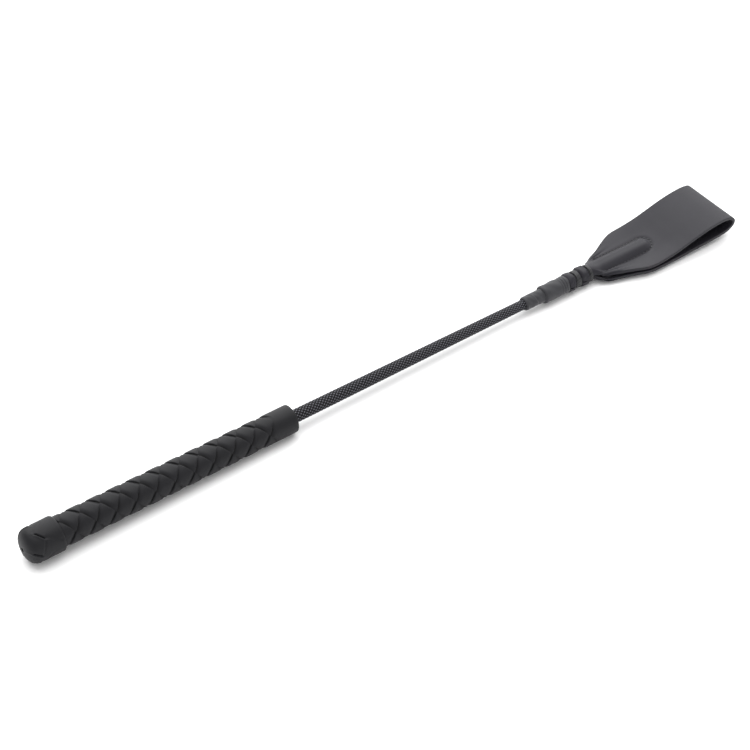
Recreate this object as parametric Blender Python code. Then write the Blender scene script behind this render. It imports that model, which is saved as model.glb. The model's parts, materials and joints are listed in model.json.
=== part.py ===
"""Riding crop: rubber-handled crop with a braided glass-fibre shaft and a folded leather tongue.

Every piece is laid out along one straight shaft axis, +X from butt to tongue, and hangs from the empty
"shaft_axis". That empty is raised and pitched so that the crop lies on z = 0 as it does on a table: on
the round of its butt cap and on the leather bulge of its neck. Metres, +Z up.
"""
import math

import bmesh
import bpy
from mathutils import Matrix, Vector

MM = 0.001
GAP = 0.3 * MM                      # room left between pieces that touch

LENGTH = 470.6 * MM                 # butt to the fold of the tongue

CAP_LENGTH = 20.5 * MM
CAP_RADIUS = 9.95 * MM
CAP_END_RADIUS = 4.5 * MM           # flat left at the butt by the rounded nose
CAP_NOSE = 6.5 * MM                 # length of the rounded nose
CAP_RIM_ROUND = 1.2 * MM
CAP_FLOOR = 6.0 * MM                # solid rubber behind the socket
CAP_VENT_RADIUS = 1.1 * MM

GRIP_REAR_RADIUS = 8.8 * MM
GRIP_FRONT_RADIUS = 8.1 * MM
GRIP_END = 165.0 * MM
GRIP_LIP = 13.0 * MM                # front stretch whose bore closes down on to the shaft
COLLAR_START = 153.0 * MM

LINER_RADIUS = 5.2 * MM
PLUG_FLANGE = 2.0 * MM
PLUG_SPIGOT = 5.5 * MM

CORE_START = 14.6 * MM
CORE_END = 415.0 * MM
CORE_BUTT_RADIUS = 2.85 * MM
CORE_TIP_RADIUS = 1.75 * MM

BRAID_START = 152.6 * MM
BRAID_END = 369.6 * MM
BRAID_REAR_RADIUS = 3.86 * MM       # at the grip's mouth
BRAID_FRONT_RADIUS = 2.82 * MM      # at BRAID_END

FLEX_X = 246.0 * MM                 # middle of the free shaft, where its bending is gathered
FLEX_ROOM = 0.65 * MM               # half the slot between the braid's two stretches

TAPE_START = 324.5 * MM
TAPE_RADIUS = 4.1 * MM
SLEEVE_START = 338.6 * MM
SLEEVE_END = 356.2 * MM
SLEEVE_RADIUS = 5.3 * MM

NECK_START = 356.6 * MM
BULGE_RADIUS = 5.75 * MM
WAIST_RADIUS = 4.0 * MM             # leather squeezed under the whipping
WHIPPING_RADIUS = 5.2 * MM
WHIPPING_THREAD = 1.15 * MM         # pitch of the thread turns
REAR_WHIPPING = (361.0 * MM, 4)     # start, number of turns
FRONT_WHIPPING = (370.8 * MM, 3)

TONGUE_HALF_WIDTH = 19.2 * MM
FLARE_START = 374.5 * MM
SHOULDER = 405.0 * MM
LEATHER = 1.85 * MM
NECK_LEATHER_EDGE = 0.6 * MM
POCKET_RADIUS = 2.7 * MM            # hollow for the rod and its end cap
WELT_RADIUS = 4.2 * MM              # leather raised over the rod
POCKET_END = 417.2 * MM
TONGUE_DROP = 0.7 * MM              # the leaves meet this far below the shaft's axis

FLAP_X = 424.0 * MM                 # where the free tongue bends, just past the stitching
FLAP_ROOM = 1.3 * MM
FLAP_Z = 0.15 * MM

SEAM_HALF_WIDTH = 5.7 * MM
CHANNEL_HALF_WIDTH = 6.5 * MM       # the leather is pressed in from here to the rod
CHANNEL_DEPTH = 1.0 * MM
CHANNEL_END = 420.8 * MM
SEAM_START = 383.5 * MM
SEAM_TURN_X = 414.3 * MM
THREAD_RADIUS = 0.35 * MM
THREAD_GAP = 0.2 * MM

ROUND = 28                          # sides of a turned piece, with one side flat to the table
FLAT_SIDE = math.cos(math.pi / ROUND)  # a side's distance from the axis, as a share of the radius
FAN_STEP = math.radians(15)         # the leather's round is drawn in these steps

FOLD_NOSE_Z = 5.2 * MM              # height of the fold's foremost line

# The crop rests on the front of its cap and on the front of its neck, which sets how it lies.
CAP_REST_X = CAP_LENGTH - CAP_RIM_ROUND
CAP_REST_DEPTH = CAP_RADIUS * FLAT_SIDE
NECK_REST_X = FRONT_WHIPPING[0] - 0.45 * MM
NECK_REST_DEPTH = BULGE_RADIUS * math.cos(0.5 * FAN_STEP)
CAP_REST_HALF_WIDTH = 2.0 * MM
NECK_REST_HALF_WIDTH = 1.5 * MM
PITCH = math.atan((CAP_REST_DEPTH - NECK_REST_DEPTH) / (NECK_REST_X - CAP_REST_X))
AXIS_HEIGHT = CAP_REST_X * math.sin(PITCH) + CAP_REST_DEPTH * math.cos(PITCH)
AXIS_START = -0.5 * (LENGTH * math.cos(PITCH) + (FOLD_NOSE_Z - CAP_END_RADIUS) * math.sin(PITCH))


for old in list(bpy.data.objects):
    bpy.data.objects.remove(old, do_unlink=True)

shaft_axis = bpy.data.objects.new("shaft_axis", None)
shaft_axis.location = (AXIS_START, 0.0, AXIS_HEIGHT)
shaft_axis.rotation_euler = (0.0, PITCH, 0.0)
bpy.context.collection.objects.link(shaft_axis)


def joint_empty(name, place):
    """An empty on a joint's axis, carried by the shaft axis."""
    empty = bpy.data.objects.new(name, None)
    empty.parent = shaft_axis
    empty.location = place
    bpy.context.collection.objects.link(empty)
    return empty


flex_axis = joint_empty("shaft_flex_axis", (FLEX_X, 0.0, 0.0))
flap_axis = joint_empty("tongue_flap_axis", (FLAP_X, 0.0, FLAP_Z))


def finish(name, color, roughness):
    """A plain non-metallic Principled material."""
    material = bpy.data.materials.new(name)
    material.use_nodes = True
    shader = material.node_tree.nodes["Principled BSDF"]
    shader.inputs["Base Color"].default_value = (*color, 1.0)
    shader.inputs["Roughness"].default_value = roughness
    shader.inputs["Metallic"].default_value = 0.0
    return material


def put(name, data, material, carrier=shaft_axis):
    """Name the piece, give it its finish and hang it from its carrier, keeping its shaft place."""
    piece = bpy.data.objects.new(name, data)
    data.materials.append(material)
    piece.parent = carrier
    if carrier is not shaft_axis:
        data.transform(Matrix.Translation(-carrier.location))
    bpy.context.collection.objects.link(piece)
    return piece


def turned(name, outline, material, carrier=shaft_axis):
    """Spin a closed outline of (x, radius) points about the shaft axis."""
    shape = bmesh.new()
    start = Matrix.Rotation(math.pi / ROUND, 3, "X")
    ring = [shape.verts.new(start @ Vector((x, 0.0, radius))) for x, radius in outline]
    edges = [
        shape.edges.new((ring[i], ring[(i + 1) % len(ring)]))
        for i in range(len(ring))
        if max(outline[i][1], outline[(i + 1) % len(outline)][1]) > 0.0
    ]
    bmesh.ops.spin(
        shape,
        geom=ring + edges,
        cent=(0.0, 0.0, 0.0),
        axis=(1.0, 0.0, 0.0),
        angle=2.0 * math.pi,
        steps=ROUND,
        use_merge=True,
    )
    bmesh.ops.remove_doubles(shape, verts=shape.verts, dist=1e-7)
    bmesh.ops.recalc_face_normals(shape, faces=shape.faces)
    mesh = bpy.data.meshes.new(name)
    shape.to_mesh(mesh)
    shape.free()
    mesh.shade_smooth()
    mesh.set_sharp_from_angle(angle=math.radians(35))
    return put(name, mesh, material, carrier)


def lofted(name, sections, material, carrier=shaft_axis):
    """Skin a row of equal closed sections and close both ends."""
    shape = bmesh.new()
    rows = [[shape.verts.new(point) for point in section] for section in sections]
    count = len(rows[0])
    for near, far in zip(rows, rows[1:]):
        for i in range(count):
            j = (i + 1) % count
            shape.faces.new((near[i], near[j], far[j], far[i]))
    for end in (rows[0], rows[-1]):
        half = count // 2
        for i in range(half - 1):
            shape.faces.new((end[i], end[i + 1], end[count - 2 - i], end[count - 1 - i]))
    bmesh.ops.recalc_face_normals(shape, faces=shape.faces)
    mesh = bpy.data.meshes.new(name)
    shape.to_mesh(mesh)
    shape.free()
    return put(name, mesh, material, carrier)


def between(x, x0, x1, a, b):
    """Straight change from a at x0 to b at x1, level outside."""
    t = min(max((x - x0) / (x1 - x0), 0.0), 1.0)
    return a + (b - a) * t


def core_radius(x):
    return between(x, GRIP_END, CORE_END, CORE_BUTT_RADIUS, CORE_TIP_RADIUS)


def braid_radius(x):
    return between(x, GRIP_END, BRAID_END, BRAID_REAR_RADIUS, BRAID_FRONT_RADIUS)


rubber = finish("moulded_rubber", (0.035, 0.035, 0.037), 0.55)
liner_plastic = finish("liner_plastic", (0.10, 0.10, 0.10), 0.50)
glass_fibre = finish("glass_fibre_rod", (0.60, 0.58, 0.50), 0.35)
braid = finish("braided_polyester", (0.018, 0.018, 0.019), 0.60)
tape = finish("binding_tape", (0.022, 0.022, 0.024), 0.65)
leather = finish("finished_leather", (0.085, 0.084, 0.092), 0.50)
thread = finish("waxed_thread", (0.020, 0.020, 0.022), 0.60)


# --- Handle -----------------------------------------------------------------------------------------

CAP_SOCKET_RADIUS = GRIP_REAR_RADIUS + GAP


def cap_outline():
    """Socketed cup: rounded nose, straight side, softened rim, and a vent through its floor."""
    points = [(0.0, CAP_VENT_RADIUS), (0.0, CAP_END_RADIUS)]
    for step in range(1, 7):
        turn = 0.5 * math.pi * step / 6
        rise = (CAP_RADIUS - CAP_END_RADIUS) * math.sin(turn)
        points.append((CAP_NOSE * (1.0 - math.cos(turn)), CAP_END_RADIUS + rise))
    points += [
        (CAP_REST_X, CAP_RADIUS),
        (CAP_LENGTH, CAP_RADIUS - 0.5 * CAP_RIM_ROUND),
        (CAP_LENGTH, CAP_SOCKET_RADIUS),
        (CAP_FLOOR, CAP_SOCKET_RADIUS),
        (CAP_FLOOR, CAP_VENT_RADIUS),
    ]
    return points


def widen_rest(piece, depth, half_width):
    """Widen the side a piece lies on, so that the crop stays put instead of rolling."""
    for vertex in piece.data.vertices:
        if vertex.co.z < 0.001 * MM - depth:
            vertex.co.y = math.copysign(half_width, vertex.co.y)


cap = turned("butt_cap", cap_outline(), rubber)
widen_rest(cap, CAP_REST_DEPTH, CAP_REST_HALF_WIDTH)

GRIP_START = CAP_FLOOR + GAP
GRIP_BORE = LINER_RADIUS + GAP
GRIP_MOUTH = BRAID_REAR_RADIUS + GAP
turned(
    "grip",
    [
        (GRIP_START, GRIP_REAR_RADIUS),
        (COLLAR_START, GRIP_FRONT_RADIUS),
        (GRIP_END - 0.8 * MM, GRIP_FRONT_RADIUS),
        (GRIP_END, GRIP_FRONT_RADIUS - 0.8 * MM),
        (GRIP_END, GRIP_MOUTH),
        (GRIP_END - GRIP_LIP, GRIP_MOUTH),
        (GRIP_END - GRIP_LIP, GRIP_BORE),
        (GRIP_START, GRIP_BORE),
    ],
    rubber,
)

LINER_START = GRIP_START + PLUG_FLANGE + GAP
LINER_END = GRIP_END - GRIP_LIP - GAP
LINER_BORE = CORE_BUTT_RADIUS + GAP
turned(
    "handle_liner",
    [
        (LINER_START, LINER_RADIUS),
        (LINER_END, LINER_RADIUS),
        (LINER_END, LINER_BORE),
        (LINER_START, LINER_BORE),
    ],
    liner_plastic,
)
turned(
    "butt_plug",
    [
        (GRIP_START, 0.0),
        (GRIP_START, LINER_RADIUS),
        (GRIP_START + PLUG_FLANGE, LINER_RADIUS),
        (GRIP_START + PLUG_FLANGE, CORE_BUTT_RADIUS),
        (GRIP_START + PLUG_FLANGE + PLUG_SPIGOT, CORE_BUTT_RADIUS),
        (GRIP_START + PLUG_FLANGE + PLUG_SPIGOT, 0.0),
    ],
    liner_plastic,
)

# --- Shaft ------------------------------------------------------------------------------------------

turned(
    "shaft_core",
    [
        (CORE_START, 0.0),
        (CORE_START, CORE_BUTT_RADIUS),
        (GRIP_END, CORE_BUTT_RADIUS),
        (CORE_END, CORE_TIP_RADIUS),
        (CORE_END, 0.0),
    ],
    glass_fibre,
)


def braid_stretch(name, start, end, carrier):
    """A length of the woven sleeve, close round the tapering rod."""
    stations = [start, GRIP_END, end] if start < GRIP_END else [start, end]
    outer = [(x, braid_radius(x)) for x in stations]
    inner = [(x, core_radius(x) + GAP) for x in reversed(stations)]
    turned(name, outer + inner, braid, carrier)


braid_stretch("braid_rear", BRAID_START, FLEX_X - FLEX_ROOM, shaft_axis)
braid_stretch("braid_front", FLEX_X + FLEX_ROOM, BRAID_END, flex_axis)

# --- Binding and neck -------------------------------------------------------------------------------

TAPE_BORE = braid_radius(TAPE_START) + GAP


def plain_sleeve(name, start, end, radius, bore, material):
    """A tube with its rear outer corner softened."""
    soft = 0.4 * MM
    turned(
        name,
        [(start, radius - soft), (start + soft, radius), (end, radius), (end, bore), (start, bore)],
        material,
        flex_axis,
    )


plain_sleeve("binding_tape", TAPE_START, SLEEVE_END, TAPE_RADIUS, TAPE_BORE, tape)
plain_sleeve("binding_sleeve", SLEEVE_START, SLEEVE_END, SLEEVE_RADIUS, TAPE_RADIUS + GAP, tape)


def whipping(name, start, turns):
    """Thread wound turn against turn, as one ribbed ring."""
    bore = WAIST_RADIUS + GAP
    rib = 0.5 * WHIPPING_THREAD
    outline = [(start, bore)]
    for turn in range(turns):
        middle = start + (turn + 0.5) * WHIPPING_THREAD
        outline.append((middle - rib, WHIPPING_RADIUS - 0.6 * rib))
        outline.append((middle - 0.45 * rib, WHIPPING_RADIUS))
        outline.append((middle + 0.45 * rib, WHIPPING_RADIUS))
    end = start + turns * WHIPPING_THREAD
    outline += [(end, WHIPPING_RADIUS - 0.6 * rib), (end, bore)]
    turned(name, outline, thread, flex_axis)


whipping("whipping_rear", *REAR_WHIPPING)
whipping("whipping_front", *FRONT_WHIPPING)

turned(
    "core_end_cap",
    [
        (CORE_END - 5.0 * MM, CORE_TIP_RADIUS + GAP),
        (CORE_END - 5.0 * MM, CORE_TIP_RADIUS + 0.65 * MM),
        (CORE_END + 1.2 * MM, CORE_TIP_RADIUS + 0.65 * MM),
        (CORE_END + 1.6 * MM, CORE_TIP_RADIUS),
        (CORE_END + 1.6 * MM, 0.0),
        (CORE_END + GAP, 0.0),
        (CORE_END + GAP, CORE_TIP_RADIUS + GAP),
    ],
    liner_plastic,
    flex_axis,
)

# --- Tongue -----------------------------------------------------------------------------------------
# One leather strip, folded at its far end. Its two ends lie one over the other, are gathered round the
# shaft at the neck and are sewn together along both sides of the rod. It is divided at the flap axis:
# two leaves on the shaft side, and the free folded loop beyond.

WAIST_ROOM = 0.2 * MM


def waist(start, turns):
    """The squeezed stretch of leather under a whipping."""
    return start - WAIST_ROOM, start + turns * WHIPPING_THREAD + WAIST_ROOM


REAR_WAIST = waist(*REAR_WHIPPING)
FRONT_WAIST = waist(*FRONT_WHIPPING)
ROOT_END = FLAP_X - FLAP_ROOM
LOOP_START = FLAP_X + FLAP_ROOM
LEAF_LIFT_START = 411.0 * MM
LEAF_LIFT = 1.5 * MM                # the upper leaf has left the lower by this much at ROOT_END


def in_neck(x):
    return x < FLARE_START


def half_width(x):
    """Half the leaf's width: the neck's radius, then the flare, then the full tongue."""
    if in_neck(x):
        return neck_radius(x)
    straight = between(x, FLARE_START, SHOULDER, WAIST_RADIUS + 1.2 * MM, TONGUE_HALF_WIDTH)
    return min(straight, TONGUE_HALF_WIDTH)


def neck_radius(x):
    for start, end in (REAR_WAIST, FRONT_WAIST):
        if start <= x <= end:
            return WAIST_RADIUS
    return BULGE_RADIUS


def split_height(x):
    return between(x, FLARE_START, 402.0 * MM, 0.0, -TONGUE_DROP)


def leaf_thickness(x):
    return between(x, FLARE_START, 398.0 * MM, NECK_LEATHER_EDGE, LEATHER)


def hollow_radius(x):
    """The room left for the braid, then for the rod, then closed."""
    if x < BRAID_END + GAP:
        return braid_radius(NECK_START) + GAP
    return POCKET_RADIUS if x < POCKET_END else 0.0


def cover_radius(x):
    """The outside of the leather where it passes over the rod."""
    if in_neck(x):
        return neck_radius(x)
    return WELT_RADIUS if x < POCKET_END else 0.0


def arch(radius, y):
    return math.sqrt(max(radius * radius - y * y, 0.0))


def leaf_lift(x):
    return between(x, LEAF_LIFT_START, ROOT_END, 0.0, LEAF_LIFT)


def channel_depth(x, y):
    """How far the stitching has pulled the leather in."""
    if abs(y) > CHANNEL_HALF_WIDTH or x > CHANNEL_END:
        return 0.0
    return between(x, FLARE_START, SHOULDER, 0.0, CHANNEL_DEPTH)


def leaf_height(x, y, side):
    """Height of a leaf's outer face; side is +1 for the upper leaf and -1 for the lower."""
    lift = leaf_lift(x) if side > 0 else 0.0
    flat = side * split_height(x) + 0.5 * GAP + leaf_thickness(x) + lift - channel_depth(x, y)
    return side * max(flat, arch(cover_radius(x), y))


def leaf_section(x, side):
    """Closed section of a leaf at x; side is +1 for the upper leaf and -1 for the lower."""
    width = half_width(x)
    reach = neck_radius(x) if in_neck(x) else WELT_RADIUS
    turns = [(step - 4.5) * FAN_STEP for step in range(10)]
    fan = [reach * math.sin(turn) for turn in turns]
    shore = min(CHANNEL_HALF_WIDTH, 0.5 * (width + fan[-1]))
    bank = shore + min(0.2 * MM, 0.5 * (width - shore))
    foot = min(1.02 * reach, 0.5 * (fan[-1] + shore))
    ys = [-width, -bank, -shore, -foot, *fan, foot, shore, bank, width]
    inner_flat = split_height(x) + side * 0.5 * GAP + (leaf_lift(x) if side > 0 else 0.0)
    inner = [(x, y, side * max(side * inner_flat, arch(hollow_radius(x), y))) for y in ys]
    outer = [(x, y, leaf_height(x, y, side)) for y in ys]
    return outer + inner[::-1]


def leaf_stations():
    """Where the leaf's section changes along the shaft."""
    step = 0.25 * MM
    edges = [NECK_START]
    for start, end in (REAR_WAIST, FRONT_WAIST):
        edges += [start - step, start, end, end + step]
    edges += [BRAID_END, BRAID_END + 2 * GAP]
    edges += [FLARE_START, 380.0 * MM, 385.0 * MM, 390.0 * MM, 394.0 * MM, 398.0 * MM, 402.0 * MM, SHOULDER]
    edges += [LEAF_LIFT_START, POCKET_END - step, POCKET_END]
    edges += [CHANNEL_END, CHANNEL_END + step, ROOT_END]
    return sorted(edges)


for leaf_name, leaf_side in (("tongue_root_upper", 1), ("tongue_root_lower", -1)):
    leaf = lofted(leaf_name, [leaf_section(x, leaf_side) for x in leaf_stations()], leather, flex_axis)
    if leaf_side < 0:
        widen_rest(leaf, NECK_REST_DEPTH, NECK_REST_HALF_WIDTH)

# Middle line of the folded strip, from the upper leaf round the fold to the lower leaf.
FOLD_ROUTE = [
    (LOOP_START, 2.45 * MM),
    (433.0 * MM, 4.8 * MM),
    (442.0 * MM, 7.2 * MM),
    (451.5 * MM, 9.0 * MM),
    (460.5 * MM, 9.75 * MM),
    (467.0 * MM, 8.7 * MM),
    (LENGTH - 0.5 * LEATHER, FOLD_NOSE_Z),
    (467.4 * MM, 1.9 * MM),
    (461.0 * MM, 0.0 * MM),
    (444.0 * MM, -1.0 * MM),
    (432.0 * MM, -1.45 * MM),
    (LOOP_START, -1.75 * MM),
]


def smooth_route(points, pieces):
    """Points along a Catmull-Rom curve through the given points."""
    padded = [points[0]] + points + [points[-1]]
    route = []
    for i in range(1, len(padded) - 2):
        before, start, end, after = (Vector(p) for p in padded[i - 1 : i + 3])
        for step in range(pieces):
            t = step / pieces
            route.append(
                0.5
                * (
                    2.0 * start
                    + (end - before) * t
                    + (2.0 * before - 5.0 * start + 4.0 * end - after) * t * t
                    + (3.0 * start - before - 3.0 * end + after) * t * t * t
                )
            )
    route.append(Vector(points[-1]))
    return route


def fold_sections():
    """Rectangular sections of the strip, square to its middle line."""
    route = smooth_route(FOLD_ROUTE, 3)
    sections = []
    for i, point in enumerate(route):
        run = route[min(i + 1, len(route) - 1)] - route[max(i - 1, 0)]
        if i in (0, len(route) - 1):
            run = Vector((run.x / abs(run.x), 0.0))
        out = Vector((-run.y, run.x)).normalized() * 0.5 * LEATHER
        ring = []
        for side, y in ((1, -1), (1, 1), (-1, 1), (-1, -1)):
            place = point + side * out
            ring.append((place.x, y * TONGUE_HALF_WIDTH, place.y))
        sections.append(ring)
    return sections


lofted("tongue_loop", fold_sections(), leather, flap_axis)

# --- Seam -------------------------------------------------------------------------------------------


def seam(name, side):
    """The U of thread round the rod, on the upper (+1) or the lower (-1) leaf."""
    route = [(SEAM_START + (SEAM_TURN_X - SEAM_START) * i / 8, -SEAM_HALF_WIDTH) for i in range(8)]
    for step in range(13):
        turn = math.pi * (step / 12 - 0.5)
        route.append(
            (SEAM_TURN_X + SEAM_HALF_WIDTH * math.cos(turn), SEAM_HALF_WIDTH * math.sin(turn))
        )
    route += [(x, SEAM_HALF_WIDTH) for x, _ in reversed(route[:8])]
    curve = bpy.data.curves.new(name, "CURVE")
    curve.dimensions = "3D"
    curve.bevel_depth = THREAD_RADIUS
    curve.bevel_resolution = 2
    curve.use_fill_caps = True
    spline = curve.splines.new("POLY")
    spline.points.add(len(route) - 1)
    clear = THREAD_GAP + THREAD_RADIUS
    for point, (x, y) in zip(spline.points, route):
        z = leaf_height(x, SEAM_HALF_WIDTH, side) + side * clear
        point.co = (x, y, z, 1.0)
    put(name, curve, thread, flex_axis)


seam("seam_thread_upper", 1)
seam("seam_thread_lower", -1)
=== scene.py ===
"""Looks of the riding crop: plaited rubber handle, braided shaft, bound neck and folded leather tongue."""

import json
import math

import bmesh
import bpy
import numpy as np
from mathutils import Matrix, Vector


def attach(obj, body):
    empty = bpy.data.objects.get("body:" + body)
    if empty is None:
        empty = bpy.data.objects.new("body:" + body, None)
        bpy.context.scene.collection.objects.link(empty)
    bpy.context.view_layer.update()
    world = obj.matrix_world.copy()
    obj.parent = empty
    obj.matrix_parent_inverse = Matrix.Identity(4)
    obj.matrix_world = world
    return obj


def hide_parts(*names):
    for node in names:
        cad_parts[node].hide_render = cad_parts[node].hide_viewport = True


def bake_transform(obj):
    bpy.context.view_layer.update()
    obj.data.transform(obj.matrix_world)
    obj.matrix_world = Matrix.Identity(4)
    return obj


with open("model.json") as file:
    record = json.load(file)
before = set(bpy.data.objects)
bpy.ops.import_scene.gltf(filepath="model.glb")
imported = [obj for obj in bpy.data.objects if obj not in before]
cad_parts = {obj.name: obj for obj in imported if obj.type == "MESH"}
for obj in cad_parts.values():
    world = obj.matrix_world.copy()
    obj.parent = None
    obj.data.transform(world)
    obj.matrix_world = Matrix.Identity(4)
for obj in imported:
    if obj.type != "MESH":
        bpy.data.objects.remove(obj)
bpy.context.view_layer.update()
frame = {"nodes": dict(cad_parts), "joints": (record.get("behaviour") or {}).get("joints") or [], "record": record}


# --- Rod and its plastics ---------------------------------------------------------
# The spring of the crop is a tapered glass-fibre rod, sanded and dull, that runs from the butt plug to
# the tongue. A moulded liner fills the grip round it, and a small cap stops its tip from cutting the leather.

# The crop lies on a table on the round of its butt cap and on the bulge of its neck, so its middle line
# is pitched a little. Every piece is made along +X in millimetres from the butt and then laid on that line.
MM = 0.001
FLEX_X = 246.0                # the frame's flex joint, measured from the butt
flex_joint = next(joint for joint in frame["joints"] if joint["name"] == "shaft_flex")
collar_mount = next(mount for mount in frame["record"]["mounts"] if mount["name"] == "collar_face")
run = Vector(collar_mount["axis"]).normalized()
sideways = Vector((0.0, 1.0, 0.0))
LINE = Matrix((run, sideways, run.cross(sideways))).transposed().to_4x4()
LINE.translation = Vector(flex_joint["pos_m"]) - run * FLEX_X * MM
LAY = LINE @ Matrix.Scale(MM, 4)

ROD_START = 14.6
ROD_END = 415.0
ROD_BUTT_RADIUS = 2.85
ROD_TIP_RADIUS = 1.75
ROD_BEVEL = 0.3               # on both cut ends
TAPER_START = 165.0           # the rod and its braid grow thinner from where they leave the grip
WELD = 0.002                  # points closer than this are one point


def grid(name, rows, columns):
    """A new grid, with the row and the column number of each of its points."""
    bpy.ops.object.select_all(action="DESELECT")
    bpy.ops.mesh.primitive_grid_add(x_subdivisions=columns - 1, y_subdivisions=rows - 1, size=1.0)
    piece = bpy.context.object
    piece.name = name
    piece.data.name = name
    row = np.repeat(np.arange(rows), columns)
    column = np.tile(np.arange(columns), rows)
    return piece, row, column


def move_points(piece, places):
    """Set the place of every point of a grid."""
    piece.data.vertices.foreach_set("co", np.asarray(places, dtype=np.float32).ravel())
    piece.data.update()


def close_up(piece):
    """Join the meeting edges, close any open end and point the faces outwards."""
    bpy.ops.object.mode_set(mode="EDIT")
    bpy.ops.mesh.select_all(action="SELECT")
    bpy.ops.mesh.remove_doubles(threshold=WELD)
    bpy.ops.mesh.fill_holes(sides=0)
    bpy.ops.mesh.select_all(action="SELECT")
    bpy.ops.mesh.normals_make_consistent(inside=False)
    bpy.ops.object.mode_set(mode="OBJECT")


def turned(name, outline, columns, relief=None):
    """Roll a grid round the line. Its rows follow a closed outline of (x, radius), forward outside and
    back inside; relief(x, turn) is how far the surface stands out, along the outline's own normal."""
    ring = np.array(outline + outline[:1])
    piece, row, column = grid(name, len(ring), columns + 1)
    ahead = np.roll(ring[:-1], -1, axis=0)
    behind = np.roll(ring[:-1], 1, axis=0)
    out = np.stack([behind[:, 1] - ahead[:, 1], ahead[:, 0] - behind[:, 0]], axis=1)
    out /= np.maximum(np.linalg.norm(out, axis=1, keepdims=True), 1e-9)
    out = np.vstack([out, out[:1]])
    turn = 2.0 * math.pi * column / columns
    x, radius = ring[row, 0], ring[row, 1]
    if relief is not None:
        faces_out = out[row, 1] > 0.05
        stand = relief(x, turn) * faces_out
        x = x + stand * out[row, 0]
        radius = radius + stand * out[row, 1]
    move_points(piece, np.stack([x, -radius * np.sin(turn), radius * np.cos(turn)], axis=1))
    close_up(piece)
    return piece


def rod_radius(x):
    """The rod is even inside the handle and tapers from there to its tip."""
    share = np.clip((x - TAPER_START) / (ROD_END - TAPER_START), 0.0, 1.0)
    return ROD_BUTT_RADIUS + (ROD_TIP_RADIUS - ROD_BUTT_RADIUS) * share


# rings 4 mm apart, close enough for the shaft to bend in a smooth curve
rod_outline = [(ROD_START, 0.0), (ROD_START, ROD_BUTT_RADIUS - ROD_BEVEL)]
rod_outline += [(ROD_START + ROD_BEVEL, ROD_BUTT_RADIUS)]
rod_outline += [(float(x), float(rod_radius(x))) for x in np.linspace(20.0, ROD_END - ROD_BEVEL, 100)]
rod_outline += [(ROD_END, ROD_TIP_RADIUS - ROD_BEVEL), (ROD_END, 0.0)]
rod = turned("rod_tapered", rod_outline, columns=28)


def colour(code):
    """Linear colour of an sRGB hex code."""
    parts = [int(code[i : i + 2], 16) / 255.0 for i in (1, 3, 5)]
    return (*[c / 12.92 if c <= 0.04045 else ((c + 0.055) / 1.055) ** 2.4 for c in parts], 1.0)


def new_material(name):
    """A new material that holds a Principled shader and its output."""
    material = bpy.data.materials.new(name)
    material.use_nodes = True
    return material


def add(material, kind, inputs=(), **settings):
    """Add a node with its settings; inputs pairs a socket's name or number with a value or an output."""
    node = material.node_tree.nodes.new(kind)
    for key, value in settings.items():
        setattr(node, key, value)
    wire(material, node, inputs)
    return node


def wire(material, node, inputs):
    """Set or link the named inputs of a node."""
    for key, value in dict(inputs).items():
        if isinstance(value, bpy.types.NodeSocket):
            material.node_tree.links.new(value, node.inputs[key])
        else:
            node.inputs[key].default_value = value


def shader_of(material):
    """The Principled shader of a material."""
    return material.node_tree.nodes["Principled BSDF"]


FIRST, SECOND, MIXED = 6, 7, 2      # sockets of a Mix node: the two colours, and the colour that comes out


def sanded_glass_fibre():
    """Pultruded glass fibre, sanded to a taper: pale resin with fine streaks along the rod."""
    material = new_material("glass_fibre_sanded")
    place = add(material, "ShaderNodeTexCoord").outputs["Object"]
    # the fibres are finer still: streaks 0.25 mm wide, drawn out 33 times along the rod, are what shows
    drawn = add(
        material, "ShaderNodeMapping", {"Vector": place, "Scale": (0.03, 1.0, 1.0)}
    ).outputs["Vector"]
    fibre = add(
        material, "ShaderNodeTexNoise", {"Vector": drawn, "Scale": 1.0 / (0.25 * MM), "Detail": 3.0}
    ).outputs["Fac"]
    tones = {"Factor": fibre, FIRST: colour("#b9b49c"), SECOND: colour("#d6d2c0")}
    tone = add(material, "ShaderNodeMix", tones, data_type="RGBA").outputs[MIXED]
    bump = add(
        material, "ShaderNodeBump", {"Height": fibre, "Strength": 0.3, "Distance": 0.03 * MM}
    ).outputs["Normal"]
    wire(material, shader_of(material), {"Base Color": tone, "Roughness": 0.38, "Normal": bump})
    return material


def lay(piece, materials, crease=35.0):
    """Shade a finished piece, give it its materials and lay it on the crop's line."""
    bpy.ops.object.select_all(action="DESELECT")
    piece.select_set(True)
    bpy.context.view_layer.objects.active = piece
    bpy.ops.object.shade_smooth_by_angle(angle=math.radians(crease))
    piece.data.transform(LAY)
    for material in materials:
        piece.data.materials.append(material)


lay(rod, [sanded_glass_fibre()])
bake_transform(rod)
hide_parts("shaft_core")


def speckled(name, speck, detail, dark, light, rough, bump, bump_height):
    """A material in two tones, with specks of so many millimetres that also stand out as a slight bump."""
    material = new_material(name)
    place = add(material, "ShaderNodeTexCoord").outputs["Object"]
    specks = add(
        material, "ShaderNodeTexNoise", {"Vector": place, "Scale": 1.0 / (speck * MM), "Detail": detail}
    ).outputs["Fac"]
    tones = {"Factor": specks, FIRST: colour(dark), SECOND: colour(light)}
    tone = add(material, "ShaderNodeMix", tones, data_type="RGBA").outputs[MIXED]
    raised = add(
        material, "ShaderNodeBump", {"Height": specks, "Strength": bump, "Distance": bump_height * MM}
    ).outputs["Normal"]
    wire(material, shader_of(material), {"Base Color": tone, "Roughness": rough, "Normal": raised})
    return material


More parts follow.
